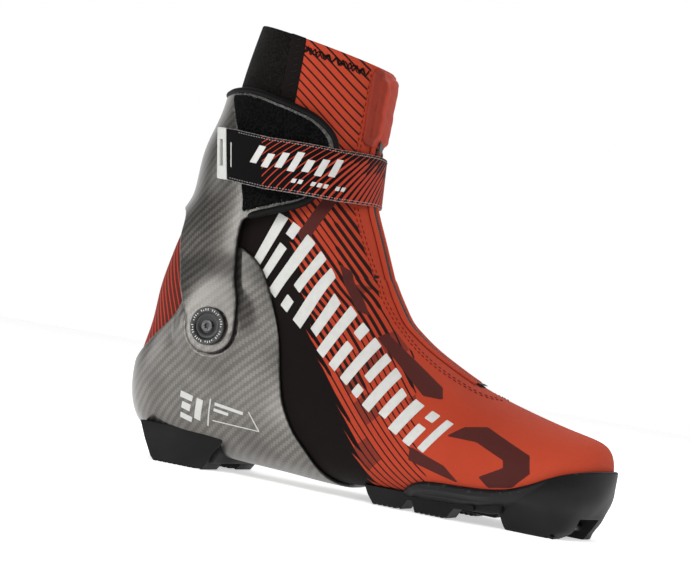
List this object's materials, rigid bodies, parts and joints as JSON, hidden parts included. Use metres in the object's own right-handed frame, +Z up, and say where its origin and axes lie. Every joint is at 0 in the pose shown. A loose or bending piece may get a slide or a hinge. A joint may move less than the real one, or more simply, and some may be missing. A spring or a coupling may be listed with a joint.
{
  "type": "cross country ski boot",
  "caption": "Skate-style cross country ski boot with a soft upper, rigid heel cup, hinged ankle cuff, front zip, cuff strap and ridged sole.",
  "frame": {"origin": "on the ground plane, in the middle of the boot's length and width seen from above", "axes": "+X from heel to toe, +Y to the inner (medial) side of a right boot, +Z up from the ground"},
  "size_m": [0.2997, 0.1059, 0.2654],
  "materials": {
    "red_softshell": "matte red stretch softshell with dark printed stripes",
    "neoprene": "matte black brushed neoprene",
    "board": "matte fibre board",
    "felt": "dark needled felt",
    "foam": "closed-cell foam",
    "carbon_composite": "grey twill carbon composite under satin clear coat",
    "padding_cover": "matte dark grey knitted rim cover",
    "loop_pile": "black brushed loop pile",
    "steel": "satin stainless steel",
    "black_plastic": "semi-gloss black acetal",
    "rubber": "matte black moulded rubber",
    "zip_coil": "black nylon coil on woven tape",
    "red_garage": "matte red moulded soft elastomer",
    "webbing": "black woven strap with red printed bars",
    "hook_tape": "black nylon hooks",
    "tab_plastic": "light grey moulded plastic"
  },
  "bodies": {
    "boot": {"upper_foot": "red_softshell", "upper_ankle": "red_softshell", "tongue": "felt", "zip_coil": "zip_coil", "lasting_board": "board", "insole": "felt", "toe_puff": "board", "ankle_foam_lateral": "foam", "ankle_foam_medial": "foam", "heel_cup": "carbon_composite", "heel_outsole": "rubber", "forefoot_outsole": "rubber", "tread_pad_lateral": "rubber", "tread_pad_medial": "rubber", "toe_bar": "steel", "pivot_nut_lateral": "steel", "pivot_bushing_lateral": "black_plastic", "pivot_washer_lateral": "black_plastic", "pivot_screw_lateral": "steel", "pivot_nut_medial": "steel", "pivot_bushing_medial": "black_plastic", "pivot_washer_medial": "black_plastic", "pivot_screw_medial": "steel"},
    "cuff": {"cuff": "carbon_composite", "cuff_padding": "padding_cover", "loop_patch": "loop_pile", "collar": "neoprene", "strap_base": "webbing", "zip_garage": "red_garage"},
    "strap": {"strap_flap": "webbing", "hook_patch": "hook_tape", "strap_pull_tab": "tab_plastic"},
    "slider": {"zip_slider": "black_plastic"}
  },
  "joints": [
    {"name": "cuff_flex", "type": "hinge", "parent": "boot", "child": "cuff", "pos_m": [-0.084, 0, 0.083], "axis": [0, 1, 0], "range_deg": [-6, 12], "stiffness_Nm_per_rad": 3, "deforming": ["upper_ankle", "tongue", "zip_coil"]},
    {"name": "strap_open", "type": "hinge", "parent": "cuff", "child": "strap", "pos_m": [-0.0165, 0, 0.18], "axis": [0, 0, 1], "range_deg": [0, 100]},
    {"name": "zip_slide", "type": "slide", "parent": "cuff", "child": "slider", "axis": [0, 0, -1], "range_m": [0, 0.023]}
  ]
}
